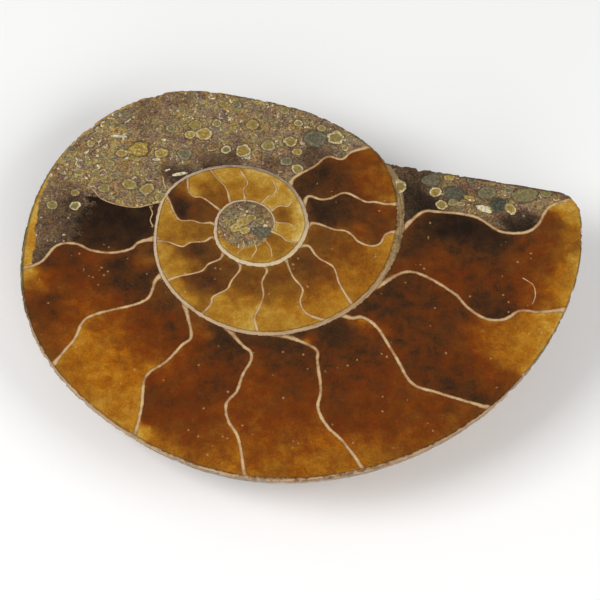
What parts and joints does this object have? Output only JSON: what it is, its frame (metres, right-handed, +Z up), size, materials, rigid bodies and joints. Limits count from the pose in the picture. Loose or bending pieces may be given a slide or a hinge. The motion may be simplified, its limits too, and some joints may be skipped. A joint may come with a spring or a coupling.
{
  "type": "ammonite fossil",
  "caption": "Half of an ammonite fossil, sawn through its coil and polished: amber calcite chambers, pale wavy septa, speckled sediment, and a domed shell flank behind.",
  "frame": {"origin": "middle of the bounding box's underside, on the surface that the domed flank rests on", "axes": "+Z up; +X along the length of the shell, towards its broken mouth; +Y across it, away from the viewer. The polished face looks up and tips 5.5 degrees down towards -X, as the stone lies at rest"},
  "size_m": [0.0582, 0.0476, 0.0112],
  "materials": {
    "fossil_stone": "polished"
  },
  "bodies": {
    "root": {"ammonite_half": "fossil_stone"}
  },
  "joints": []
}
